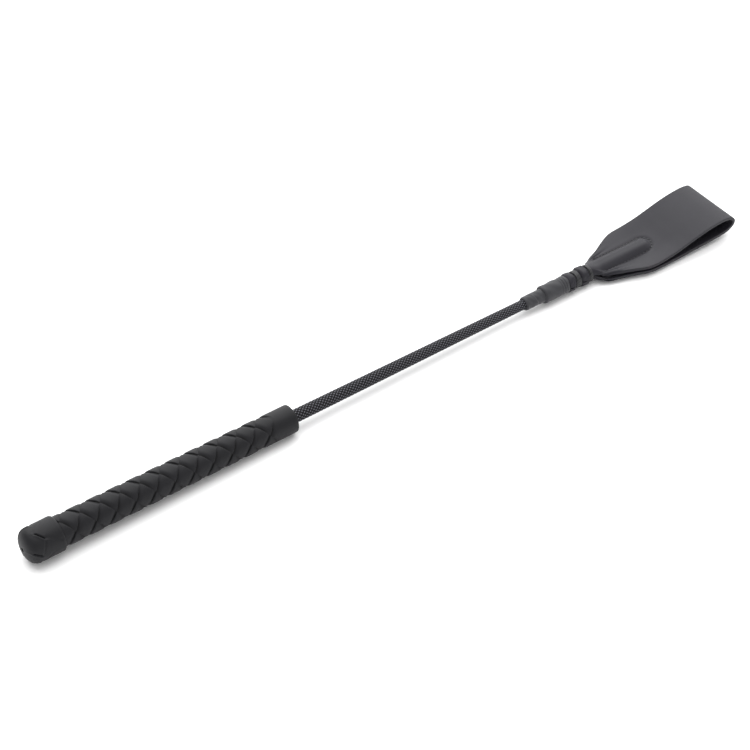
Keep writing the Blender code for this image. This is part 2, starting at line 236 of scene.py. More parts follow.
# Injection-moulded polypropylene: dark grey, even and slightly waxy. Spark erosion of the mould leaves pits
# of about 0.05 mm, which are drawn at 0.3 mm to show.
plastic = speckled(
    "moulded_polypropylene", 0.3, 2.0, "#2c2c2d", "#37373a", rough=0.5, bump=0.25, bump_height=0.03
)
for node_name in ("handle_liner", "butt_plug", "core_end_cap"):
    for material_slot in frame["nodes"][node_name].material_slots:
        material_slot.material = plastic


# --- Braided sleeve ---------------------------------------------------------------
# Black polyester braid, twelve flat bundles of yarn each way, worked tight over the tapering rod from
# inside the grip's collar to under the leather of the neck. Each bundle shows its separate yarns.

BRAID_START = 152.6           # inside the grip's collar
BRAID_END = 369.4             # under the leather
BRAID_REAR_RADIUS = 3.86
BRAID_FRONT_RADIUS = 2.82
BUNDLES = 12                  # bundles each way round
BUNDLE_PITCH = 2.3            # from one crossing to the next along the shaft
BUNDLE_DEPTH = 0.55
BUNDLE_SAMPLES = 5            # faces across a bundle
BUNDLE_WIDTH = 1.5            # across the lie of its yarns
YARNS = 4                     # yarns side by side in a bundle
ROD_ROOM = 0.2                # between the rod and the inside of the braid
SINK_SPAN = (0.35, 0.85)      # shares of a crossing strand's width over which one sinks under it
RISE_SHARE = 0.26             # share of a cell in which a strand comes up out of a crossing


def smooth(start, end, value):
    """Eased change from 0 at start to 1 at end."""
    share = np.clip((np.asarray(value, dtype=float) - start) / (end - start), 0.0, 1.0)
    return share * share * (3.0 - 2.0 * share)


def store(piece, name, values):
    """Keep a number on each point, for the material to read."""
    attribute = piece.data.attributes.new(name, "FLOAT", "POINT")
    attribute.data.foreach_set("value", np.asarray(values, dtype=np.float32).ravel())


def plait_height(along, across, dive, crown, lip):
    """Height of a strand, 0 to 1, inside one cell of the plait. It rises out of the crossing it comes from,
    is highest along its middle, and sinks again; its two long edges are rounded lips."""
    end = np.minimum(along, 1.0 - along)
    toward = np.where(along < 0.5, across, 1.0 - across)
    sink = 1.0 - (1.0 - dive) * smooth(*SINK_SPAN, toward)
    rise = smooth(0.0, RISE_SHARE, end)
    domed = 1.0 - crown * (2.0 * across - 1.0) ** 2
    top = domed * (1.0 - sink * (1.0 - rise))
    edge = np.minimum(across, 1.0 - across)
    neighbour = np.where(across < 0.5, 1.0 - along, along)
    below = (1.0 - crown * (2.0 * along - 1.0) ** 2) * (1.0 - dive) * smooth(*SINK_SPAN, neighbour)
    rounding = np.sqrt(1.0 - (1.0 - np.clip(edge / lip, 0.0, 1.0)) ** 2)
    return below + (top - below) * rounding


def plaited(name, strands, corner, pitch, reach, samples, radius_at, depth, dive, crown, lip):
    """A tube of strands crossing over and under. The grid's lines follow the strands' own edges, and it is
    rolled up so that the end of each strand's turn meets the start of the next."""
    first_x, first_turn = corner
    low = math.floor(2.0 * (reach[0] - first_x) / pitch - strands)
    high = math.ceil(2.0 * (reach[1] - first_x) / pitch)
    piece, row, column = grid(name, strands * samples + 1, (high - low) * samples + 1)
    ease = 0.5 * (1.0 - np.cos(math.pi * np.arange(samples) / samples))
    a_cell, b_cell = column // samples, row // samples
    a_share, b_share = ease[column % samples], ease[row % samples]
    a, b = a_cell + low + a_share, b_cell + b_share
    odd = (a_cell + low + b_cell) % 2 == 1
    along = np.where(odd, b_share, a_share)
    across = np.where(odd, a_share, b_share)
    height = plait_height(along, across, dive, crown, lip)
    height[(column % samples == 0) & (row % samples == 0)] = 0.0
    x = first_x + 0.5 * pitch * (a + b)
    turn = first_turn + 2.0 * math.pi * 0.5 * (b - a) / strands
    height = height * depth(x)
    level = depth(x).max()
    radius = radius_at(x) - depth(x) + height
    move_points(piece, np.stack([x, -radius * np.sin(turn), radius * np.cos(turn)], axis=1))
    store(piece, "relief", (level - depth(x) + height) / level)

    # UV of each corner: across its strand, and along it through one cell
    corners = np.zeros(len(piece.data.loops), dtype=np.int32)
    piece.data.loops.foreach_get("vertex_index", corners)
    faces = corners.reshape(-1, 4)
    first = faces.min(axis=1)
    face_odd = np.repeat(odd[first], 4)
    loop_a = a[corners] - np.repeat(np.floor(a[first] + 1e-6), 4)
    loop_b = b[corners] - np.repeat(np.floor(b[first] + 1e-6), 4)
    strand_uv = np.stack([np.where(face_odd, loop_a, loop_b), np.where(face_odd, loop_b, loop_a)], axis=1)
    piece.data.uv_layers[0].data.foreach_set("uv", strand_uv.astype(np.float32).ravel())

    # roll the tube shut and cut both ends square
    bpy.ops.object.mode_set(mode="EDIT")
    bpy.ops.mesh.select_all(action="SELECT")
    bpy.ops.mesh.remove_doubles(threshold=WELD)
    for x_cut, beyond in ((reach[0], -1.0), (reach[1], 1.0)):
        bpy.ops.mesh.select_all(action="SELECT")
        bpy.ops.mesh.bisect(
            plane_co=(x_cut, 0.0, 0.0), plane_no=(beyond, 0.0, 0.0), clear_outer=True, threshold=0.001
        )
    bpy.ops.object.mode_set(mode="OBJECT")
    return piece


def select_rims(piece, x=None):
    """Select the open edges: both rims of a tube, or only the one that lies at x."""
    bpy.ops.mesh.select_mode(type="EDGE")
    bpy.ops.mesh.select_all(action="DESELECT")
    shape = bmesh.from_edit_mesh(piece.data)
    for edge in shape.edges:
        if edge.is_boundary and (x is None or all(abs(vert.co.x - x) < 0.01 for vert in edge.verts)):
            edge.select = True
    bmesh.update_edit_mesh(piece.data)


def pull_rim(piece, x, steps):
    """Pull the open edge at x on through (x, radius) steps."""
    select_rims(piece, x)
    for new_x, new_radius in steps:
        bpy.ops.mesh.extrude_region_move()
        shape = bmesh.from_edit_mesh(piece.data)
        for vert in shape.verts:
            if vert.select:
                turn = math.atan2(vert.co.y, vert.co.z)
                vert.co = (new_x, new_radius * math.sin(turn), new_radius * math.cos(turn))
        bmesh.update_edit_mesh(piece.data)


def bridge_rims(piece):
    """Join both rims with a last ring of faces, and point all the faces outwards."""
    select_rims(piece)
    bpy.ops.mesh.bridge_edge_loops()
    bpy.ops.mesh.select_all(action="SELECT")
    bpy.ops.mesh.normals_make_consistent(inside=False)
    bpy.ops.object.mode_set(mode="OBJECT")


def braid_radius(x):
    """The braid is even inside the handle and thins with the rod."""
    share = np.clip((x - TAPER_START) / (BRAID_END - TAPER_START), 0.0, 1.0)
    return BRAID_REAR_RADIUS + (BRAID_FRONT_RADIUS - BRAID_REAR_RADIUS) * share


def braid_depth(x):
    return BUNDLE_DEPTH * np.ones_like(x) * (braid_radius(x) / BRAID_REAR_RADIUS)


braid = plaited(
    "braid_woven", BUNDLES, (TAPER_START, 0.0), BUNDLE_PITCH, (BRAID_START, BRAID_END), BUNDLE_SAMPLES,
    braid_radius, braid_depth, dive=0.25, crown=0.65, lip=0.12,
)
bpy.ops.object.mode_set(mode="EDIT")
lining = [(float(x), float(rod_radius(x)) + ROD_ROOM) for x in np.linspace(BRAID_END, BRAID_START + 0.3, 60)]
pull_rim(braid, BRAID_END, lining)
pull_rim(braid, BRAID_START, [(BRAID_START, ROD_BUTT_RADIUS + ROD_ROOM)])
bridge_rims(braid)


def braided_polyester():
    """Braided polyester filament: black, with a painted highlight, a slight silk, on the crown of the round
    yarns and painted shade, near black, where the bundles cross."""
    material = new_material("polyester_braided")
    strand = add(material, "ShaderNodeUVMap", uv_map="UVMap").outputs["UV"]
    parts = add(material, "ShaderNodeSeparateXYZ", {0: strand}).outputs
    height = add(material, "ShaderNodeAttribute", attribute_name="relief").outputs["Fac"]
    # the yarns lie side by side across the bundle, each one a rounded rib
    phase = add(
        material, "ShaderNodeMath", {0: parts["X"], 1: 2.0 * math.pi * YARNS}, operation="MULTIPLY"
    ).outputs[0]
    cosine = add(material, "ShaderNodeMath", {0: phase}, operation="COSINE").outputs[0]
    yarn = add(
        material, "ShaderNodeMath", {0: cosine, 1: -0.5, 2: 0.5}, operation="MULTIPLY_ADD"
    ).outputs[0]
    # filaments are a few hundredths of a millimetre thick; they show as streaks 0.0625 mm by 1 mm
    drawn = add(
        material,
        "ShaderNodeMapping",
        {"Vector": strand, "Scale": (BUNDLE_WIDTH / 0.0625, BUNDLE_WIDTH / 1.0, 1.0)},
    ).outputs["Vector"]
    filament = add(
        material, "ShaderNodeTexNoise", {"Vector": drawn, "Scale": 1.0, "Detail": 2.0}
    ).outputs["Fac"]
    # painted highlight: only the crown of each bundle, the top third of its rise, is painted lighter for the light
    # it catches
    crown = add(
        material, "ShaderNodeMath", {0: height, 1: 3.0, 2: -1.9}, operation="MULTIPLY_ADD", use_clamp=True
    ).outputs[0]
    filament_glint = add(
        material, "ShaderNodeMath", {0: filament, 1: 0.6, 2: 0.2}, operation="MULTIPLY_ADD"
    ).outputs[0]
    ribbed = add(
        material, "ShaderNodeMath", {0: yarn, 1: 0.5, 2: filament_glint}, operation="MULTIPLY_ADD"
    ).outputs[0]
    painted_highlight = add(
        material, "ShaderNodeMath", {0: ribbed, 1: crown}, operation="MULTIPLY", use_clamp=True
    ).outputs[0]
    # painted highlight in grey on the crowns, and painted shade near black where the bundles cross
    tones = {"Factor": painted_highlight, FIRST: colour("#060607"), SECOND: colour("#6e6e76")}
    tone = add(material, "ShaderNodeMix", tones, data_type="RGBA").outputs[MIXED]
    bump = add(
        material, "ShaderNodeBump", {"Height": yarn, "Strength": 0.8, "Distance": 0.08 * MM}
    ).outputs["Normal"]
    wire(material, shader_of(material), {"Base Color": tone, "Roughness": 0.48, "Normal": bump})
    shader_of(material).inputs["Specular IOR Level"].default_value = 0.18
    return material


lay(braid, [braided_polyester()], crease=60.0)
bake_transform(braid)
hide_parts("braid_rear", "braid_front")


# --- Plaited grip -----------------------------------------------------------------
# Black rubber tube moulded to look like broad plaited straps, three running each way round the handle,
# each one sinking under the next. The plait fades out under a smooth collar that closes on the shaft.

GRIP_START = 6.3              # inside the butt cap
GRIP_REAR_RADIUS = 8.8
GRIP_FRONT_RADIUS = 8.1
COLLAR_START = 153.0
GRIP_END = TAPER_START
GRIP_EDGE_ROUND = 1.0
MOUTH_RADIUS = 4.16           # closes on the braid
MOUTH_REAR = 152.0            # behind this the bore widens to take the liner
LINER_ROOM = 5.5              # radius of that wider bore
STRAPS = 3                    # straps each way round
STRAP_PITCH = 11.93           # from one crossing to the next along the handle
STRAP_CORNER = (33.5, math.radians(8.8))   # x and turn of one crossing
STRAP_DEPTH = 0.9
STRAP_SAMPLES = 16            # faces across a strap
PLAIT_FADE = (148.5, 152.5)   # the plait sinks into the collar between these two


def grip_radius(x):
    """The grip tapers a little from the butt cap to its collar."""
    share = np.clip((x - GRIP_START) / (COLLAR_START - GRIP_START), 0.0, 1.0)
    return GRIP_REAR_RADIUS + (GRIP_FRONT_RADIUS - GRIP_REAR_RADIUS) * share


def grip_depth(x):
    return STRAP_DEPTH * (1.0 - smooth(*PLAIT_FADE, x))


grip = plaited(
    "grip_plaited", STRAPS, STRAP_CORNER, STRAP_PITCH, (GRIP_START, COLLAR_START), STRAP_SAMPLES,
    grip_radius, grip_depth, dive=0.5, crown=0.10, lip=0.05,
)
bpy.ops.object.mode_set(mode="EDIT")
# the collar is pulled out of the front rim, round its front edge, and back inside as mouth and bore
collar_steps = [(COLLAR_START + ahead, GRIP_FRONT_RADIUS) for ahead in (1.5, 4.0, 8.0, 10.9)]
for step in range(1, 6):
    bend = 0.5 * math.pi * step / 5
    edge_x = GRIP_END - GRIP_EDGE_ROUND * (1.0 - math.sin(bend))
    edge_radius = GRIP_FRONT_RADIUS - GRIP_EDGE_ROUND * (1.0 - math.cos(bend))
    collar_steps.append((edge_x, edge_radius))
collar_steps += [(GRIP_END, MOUTH_RADIUS + 0.5), (GRIP_END - 0.2, MOUTH_RADIUS + 0.1)]
collar_steps += [(GRIP_END - 1.0, MOUTH_RADIUS), (MOUTH_REAR, MOUTH_RADIUS)]
collar_steps += [(MOUTH_REAR, LINER_ROOM), (GRIP_START + 0.6, LINER_ROOM)]
pull_rim(grip, COLLAR_START, collar_steps)
pull_rim(grip, GRIP_START, [(GRIP_START, LINER_ROOM)])
bridge_rims(grip)


def moulded_rubber(name, grain_strength):
    """Moulded rubber: nearly black, with a satin skin that the mould left very finely grained. Handling
    has polished what stands out, and the creases stay dull, with painted shade darkening their floors."""
    material = new_material(name)
    place = add(material, "ShaderNodeTexCoord").outputs["Object"]
    height = add(material, "ShaderNodeAttribute", attribute_name="relief").outputs["Fac"]
    # the skin changes tone over 9 mm; the mould's grain is nearer 0.1 mm and is drawn at 0.5 mm to show
    blotch = add(
        material, "ShaderNodeTexNoise", {"Vector": place, "Scale": 1.0 / (9.0 * MM), "Detail": 3.0}
    ).outputs["Fac"]
    grain = add(
        material, "ShaderNodeTexNoise", {"Vector": place, "Scale": 1.0 / (0.5 * MM), "Detail": 2.0}
    ).outputs["Fac"]
    tones = {"Factor": blotch, FIRST: colour("#161618"), SECOND: colour("#1c1c1f")}
    skin = add(material, "ShaderNodeMix", tones, data_type="RGBA").outputs[MIXED]
    # painted shade: the floor of a crease is painted darkest, and the top of the relief is rubbed smoothest
    depth = add(
        material, "ShaderNodeMapRange", {"Value": height, "From Min": 0.05, "From Max": 0.5, "To Min": 0.0}
    ).outputs["Result"]
    tones = {"Factor": depth, FIRST: colour("#0b0b0c"), SECOND: skin}
    tone = add(material, "ShaderNodeMix", tones, data_type="RGBA").outputs[MIXED]
    polish = add(
        material,
        "ShaderNodeMapRange",
        {"Value": height, "From Min": 0.3, "From Max": 1.0, "To Min": 0.62, "To Max": 0.46},
    ).outputs["Result"]
    rough = add(
        material, "ShaderNodeMath", {0: grain, 1: 0.08, 2: polish}, operation="MULTIPLY_ADD"
    ).outputs[0]
    bump = add(
        material, "ShaderNodeBump", {"Height": grain, "Strength": grain_strength, "Distance": 0.05 * MM}
    ).outputs["Normal"]
    wire(material, shader_of(material), {"Base Color": tone, "Roughness": rough, "Normal": bump})
    shader_of(material).inputs["Specular IOR Level"].default_value = 0.17
    return material


lay(grip, [moulded_rubber("moulded_rubber_plaited", grain_strength=0.5)], crease=50.0)
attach(grip, "handle")
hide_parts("grip")


# --- Butt cap ---------------------------------------------------------------------
# Rubber knob moulded as a deep cup and pushed over the rear of the grip. Its nose is rounded, with a vent
# hole at the end, and three sets of shallow slits and folds go round it, like the end of a plaited knot.

CAP_LENGTH = 20.5
CAP_RADIUS = 9.85
CAP_NOSE = 6.5
CAP_NOSE_POWER = 2.5          # 2 is an ellipse; more is a blunter nose
NOSE_RINGS = 25
CAP_RIM_ROUND = 1.2
CAP_SOCKET = 9.1
CAP_FLOOR = 6.0
VENT_RADIUS = 1.1
CAP_SETS = 3                  # sets of slits and folds round the cap
SLIT_REACH = 2.0              # a slit's lip dies away this far from it
CAP_SLITS = (                 # (x, degrees) of both ends, depth, half width, height of the lip
    ((6.9, 16.0), (10.1, 39.3), 1.0, 0.42, 0.32),
    ((2.6, 76.0), (6.4, 92.0), 0.9, 0.42, 0.25),
    ((10.6, 41.0), (7.6, 84.0), 0.34, 0.55, 0.16),
    ((11.2, 40.0), (18.6, 66.0), 0.22, 0.9, 0.1),
    ((7.0, 14.0), (12.5, -22.0), 0.2, 0.8, 0.1),
)


def cap_outline():
    """Vent, nose, side, rim, socket and floor, and back to the vent."""
    points = []
    for step in range(NOSE_RINGS + 1):
        bend = 0.5 * math.pi * (0.10 + 0.90 * step / NOSE_RINGS)
        nose_x = CAP_NOSE * (1.0 - math.cos(bend) ** (2.0 / CAP_NOSE_POWER))
        points.append((nose_x, CAP_RADIUS * math.sin(bend) ** (2.0 / CAP_NOSE_POWER)))
    points = [(0.5, VENT_RADIUS), (0.15, VENT_RADIUS + 0.08)] + points
    straight = CAP_LENGTH - CAP_RIM_ROUND
    points += [(x, CAP_RADIUS) for x in np.linspace(CAP_NOSE, straight, 40)[1:]]
    for step in range(1, 7):
        bend = 0.5 * math.pi * step / 6
        rim_x = straight + CAP_RIM_ROUND * math.sin(bend)
        points.append((rim_x, CAP_RADIUS - 0.75 * CAP_RIM_ROUND * (1.0 - math.cos(bend))))
    points += [(CAP_LENGTH - 0.1, CAP_SOCKET), (CAP_LENGTH - 0.6, CAP_SOCKET - 0.05)]
    points += [(CAP_FLOOR, CAP_SOCKET - 0.05), (CAP_FLOOR, VENT_RADIUS), (2.0, VENT_RADIUS)]
    return [(float(x), float(radius)) for x, radius in points]


def stroke(x, turn, start, end):
    """Distance from a straight stroke on the unrolled cap, and which side of it a point lies."""
    reach = 2.0 * math.pi / CAP_SETS
    turn = (turn - math.radians(start[1]) + 0.5 * reach) % reach - 0.5 * reach
    run_x = end[0] - start[0]
    run_y = math.radians(end[1] - start[1]) * CAP_RADIUS
    length = math.hypot(run_x, run_y)
    from_x, from_y = x - start[0], turn * CAP_RADIUS
    share = np.clip((from_x * run_x + from_y * run_y) / length**2, 0.0, 1.0)
    away = np.hypot(from_x - share * run_x, from_y - share * run_y)
    hand = (from_y * run_x - from_x * run_y) / length
    return away, hand


def cap_relief(x, turn):
    """Slits with a raised lip on one side, and softer folds that run on from them."""
    stand = np.zeros_like(x)
    for start, end, deep, wide, lip in CAP_SLITS:
        away, hand = stroke(x, turn, start, end)
        beside = np.exp(-(((hand - 1.5 * wide) / (1.6 * wide)) ** 2))
        stand -= deep * np.exp(-((away / wide) ** 2))
        stand += lip * beside * np.exp(-((away / SLIT_REACH) ** 2))
    return stand


cap = turned("butt_cap_moulded", cap_outline(), columns=288, relief=cap_relief)
store(cap, "relief", np.ones(len(cap.data.vertices)))
lay(cap, [moulded_rubber("moulded_rubber_plain", grain_strength=0.4)], crease=50.0)
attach(cap, "handle")
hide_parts("butt_cap")


# --- Binding ----------------------------------------------------------------------
# Black cloth tape is wound round the end of the braid, each turn half over the last, to hide its cut yarns.
# A thicker sleeve of the same cloth is drawn over it, up to the leather of the neck.

TAPE_START = 325.2
TAPE_RADIUS = 4.1
TAPE_TURN = 6.5               # advance of one turn of tape
TAPE_STEP = 0.22              # how far a turn's edge stands above the turn under it
SLEEVE_START = 338.6
SLEEVE_END = 356.2
SLEEVE_RADIUS = 5.3
SLEEVE_ROUND = 1.3            # its rear edge is turned in over this length
SLEEVE_WAIST = 351.0          # the thread draws the sleeve in here
RIDGE_STEP = 1.6              # from one thread ridge to the next


def tape_relief(x, turn):
    """Overlapping turns, each with a step at its edge, and a little looseness in the cloth."""
    wound = ((x - TAPE_START) / TAPE_TURN - turn / (2.0 * math.pi)) % 1.0
    overlap = TAPE_STEP * (wound - smooth(0.93, 1.0, wound))
    loose = 0.07 * np.sin(3.0 * turn + 0.9 * x) + 0.05 * np.sin(5.0 * turn - 1.7 * x)
    return overlap - 0.5 * TAPE_STEP + loose * smooth(TAPE_START, TAPE_START + 2.0, x)


tape_outline = [(TAPE_START, 3.35), (TAPE_START + 0.15, 3.75), (TAPE_START + 0.7, TAPE_RADIUS - 0.08)]
tape_outline += [(float(x), TAPE_RADIUS) for x in np.linspace(TAPE_START + 1.2, SLEEVE_END - 0.2, 110)]
tape_outline += [(SLEEVE_END, TAPE_RADIUS - 0.2), (SLEEVE_END, 3.4)]
tape = turned("binding_tape_wound", tape_outline, columns=96, relief=tape_relief)


def sleeve_relief(x, turn):
    """Soft folds in the cloth and the ridges that the threads pull up at its front end."""
    folds = 0.10 * np.sin(2.0 * turn + 0.55 * x) + 0.07 * np.sin(5.0 * turn - 0.8 * x + 1.0)
    ridges = 0.10 * np.cos(2.0 * math.pi * (x - SLEEVE_END) / RIDGE_STEP) * smooth(349.5, 353.0, x)
    waist = -0.22 * np.exp(-(((x - SLEEVE_WAIST) / 2.2) ** 2))
    return folds + ridges + waist


sleeve_outline = [(SLEEVE_START, TAPE_RADIUS + 0.12)]
for step in range(1, 8):
    bend = 0.5 * math.pi * step / 7
    edge_x = SLEEVE_START + SLEEVE_ROUND * (1.0 - math.cos(bend))
    drawn_in = (SLEEVE_RADIUS - TAPE_RADIUS - 0.2) * (1.0 - math.sin(bend))
    sleeve_outline.append((edge_x, SLEEVE_RADIUS - drawn_in))
sleeve_outline += [(float(x), SLEEVE_RADIUS) for x in np.linspace(SLEEVE_START + 1.7, SLEEVE_END - 0.7, 80)]
sleeve_outline += [(SLEEVE_END - 0.2, SLEEVE_RADIUS - 0.25), (SLEEVE_END, SLEEVE_RADIUS - 0.7)]
sleeve_outline += [(SLEEVE_END, TAPE_RADIUS + 0.12)]
sleeve = turned("binding_sleeve_drawn", sleeve_outline, columns=120, relief=sleeve_relief)


def bound_cloth():
    """Rubbed cotton tape: matt black plain weave, threads 0.45 mm apart, with a dry, chalky bloom."""
    material = new_material("cotton_tape_black")
    place = add(material, "ShaderNodeTexCoord").outputs["Object"]
    threads = add(
        material,
        "ShaderNodeTexVoronoi",
        {"Vector": place, "Scale": 1.0 / (0.45 * MM), "Randomness": 0.35},
    ).outputs["Distance"]
    bloom = add(
        material, "ShaderNodeTexNoise", {"Vector": place, "Scale": 1.0 / (3.0 * MM), "Detail": 4.0}
    ).outputs["Fac"]
    tones = {"Factor": bloom, FIRST: colour("#1a1a1e"), SECOND: colour("#29292e")}
    tone = add(material, "ShaderNodeMix", tones, data_type="RGBA").outputs[MIXED]
    bump = add(
        material, "ShaderNodeBump", {"Height": threads, "Strength": 0.45, "Distance": 0.08 * MM}
    ).outputs["Normal"]
    wire(material, shader_of(material), {"Base Color": tone, "Roughness": 0.8, "Normal": bump})
    shader_of(material).inputs["Sheen Weight"].default_value = 0.2
    shader_of(material).inputs["Sheen Roughness"].default_value = 0.5
    return material


cloth = bound_cloth()
for piece, node_name in ((tape, "binding_tape"), (sleeve, "binding_sleeve")):
    lay(piece, [cloth], crease=50.0)
    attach(piece, "shaft_end")
    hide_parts(node_name)


# --- Tongue -----------------------------------------------------------------------
# One strip of chrome-tanned leather 1.85 mm thick, dyed dark grey-black, finished on its grain side and raw
# suede inside. It is folded at the far end, and its two narrow ends are gathered round the shaft as the neck.

LEATHER = 1.85
SKIVED = 0.95                 # shares of that thickness: at the neck,
SQUEEZED = 0.5                # lost under a whipping,
RIDGE_PRESSED = 0.16          # and lost where the leather is pressed over the rod
HALF_WIDTH = 19.2
FIRM_HALF = 6.6               # out to here, past the seam, the strip keeps its width while it can
NECK_START = 356.6
FLARE_START = 374.5
SHOULDER = 405.0
BULGE_RADIUS = 5.75
WAIST_RADIUS = 4.4
NECK_TURN = math.radians(87.0)  # how far round the neck half of each leaf reaches
NECK_LIP = 0.45               # the rear end of the neck is drawn in by this
REAR_WAIST = (361.0, 365.6)   # under the rear whipping
FRONT_WAIST = (370.8, 374.25)  # under the front whipping
ROD_RIDGE = 3.2               # height of the leather's middle where it passes over the rod
RIDGE_FLAT = 1.5              # half the ridge's level top
RIDGE_FOOT = 6.2              # where the ridge has come down to the flat leaf
SEAM_HALF_WIDTH = 6.2
SEAM_START = 383.0
SEAM_TURN_X = 414.3
ROD_PASSED = SEAM_TURN_X + RIDGE_FOOT + 1.0   # neither ridge nor groove reaches past this
SEAM_SINK = 0.5               # depth of the groove that the stitches pull
SEAM_GROOVE = 0.95            # half the width of that groove
DROOP_DOWN = 2.2              # the lower leaf leaves the neck this much lower,
DROOP_OUT = 1.5               # and this much wider on each side
SPRING_UP = 0.85              # past the neck the upper leaf's edges spring up by this,
SPRING_DOWN = 0.45            # and the lower leaf's edges down by this
GATHER_HEIGHT = 0.30          # of the folds that run out of the neck
GATHER_STEP = 6.5             # from one of these folds to the next
LEAVES_MEET = -0.7            # height where the two leaves lie together
LEAF_GAP = 0.015              # half the room left between them
FOLD_ROWS = 12                # rows from one point of the fold to the next
WIDTH_STATIONS = [            # (x, half width): a straight flare, then a rounded shoulder
    (FLARE_START, 5.2), (SHOULDER - 4.0, 17.35), (SHOULDER - 1.0, 18.45), (SHOULDER + 2.5, 19.0),
    (SHOULDER + 6.0, HALF_WIDTH),
]
STRIP_FOLD = [                # (x, height) of the middle of the leather, over the fold and back
    (405.0, 0.24), (411.0, 0.40), (417.5, 1.05), (425.3, 2.55), (433.0, 4.75), (442.0, 7.2),
    (451.5, 9.0), (460.5, 9.75), (467.0, 8.7), (469.675, 5.2), (467.4, 1.9), (461.0, 0.0),
    (444.0, -1.0), (432.0, -1.45), (425.3, -1.6), (417.0, -1.645), (411.0, -1.645), (405.0, -1.645),
]


def half_width(x):
    """Half the width of the flat leaf at x."""
    stations, halves = zip(*WIDTH_STATIONS)
    return np.interp(x, stations, halves)


def squeeze(x):
    """1 where a whipping squeezes the neck, 0 on the bulges between; it stays 1 past the front whipping."""
    rear = smooth(REAR_WAIST[0] - 1.3, REAR_WAIST[0] + 0.2, x)
    rear = rear * (1.0 - smooth(REAR_WAIST[1] - 0.2, REAR_WAIST[1] + 1.3, x))
    return np.maximum(rear, smooth(FRONT_WAIST[0] - 1.3, FRONT_WAIST[0] + 0.2, x))


def thickness_share(x, across):
    """The leather's thickness as a share of the full one: skived at the neck, pressed thin on the ridge."""
    neck = SKIVED - SQUEEZED * squeeze(x)
    leaf = 1.0 - RIDGE_PRESSED * (1.0 - smooth(2.5, 5.0, np.abs(across))) * (1.0 - smooth(417.0, 421.0, x))
    open_out = smooth(374.5, 386.0, x)
    return neck + (leaf - neck) * open_out


def strip_route():
    """(x, height, side) of each row of the strip: the upper neck, the fold, and the lower neck."""
    straight = np.arange(NECK_START, SHOULDER - 0.3, 0.5)
    meet = np.interp(straight, [FLARE_START, 402.0], [0.0, LEAVES_MEET])
    upper, lower = [], []
    for x, level in zip(straight, meet):
        half = 0.5 * LEATHER * float(thickness_share(x, HALF_WIDTH)) + LEAF_GAP
        upper.append((x, level + half, 1.0))
        lower.append((x, level - half, -1.0))
    # a smooth curve through the points of the fold
    fold = []
    padded = [STRIP_FOLD[0]] + STRIP_FOLD + [STRIP_FOLD[-1]]
    for i in range(1, len(padded) - 2):
        before, start, end, after = (np.array(point) for point in padded[i - 1 : i + 3])
        for step in range(FOLD_ROWS):
            t = step / FOLD_ROWS
            point = 0.5 * (
                2.0 * start
                + (end - before) * t
                + (2.0 * before - 5.0 * start + 4.0 * end - after) * t * t
                + (3.0 * start - before - 3.0 * end + after) * t**3
            )
            fold.append(point)
    nose = int(np.argmax([point[0] for point in fold]))
    fold = [(x, level, 1.0 if i <= nose else -1.0) for i, (x, level) in enumerate(fold)]
    fold.append((*STRIP_FOLD[-1], -1.0))
    return np.array(upper + fold + lower[::-1])


def seam_distance(x, y):
    """Distance from the U of stitches round the rod's end."""
    straight = np.hypot(np.minimum(x - SEAM_START, 0.0), np.abs(y) - SEAM_HALF_WIDTH)
    bend = np.hypot(x - SEAM_TURN_X, y) - SEAM_HALF_WIDTH
    return np.where(x < SEAM_TURN_X, np.abs(straight), np.abs(bend))


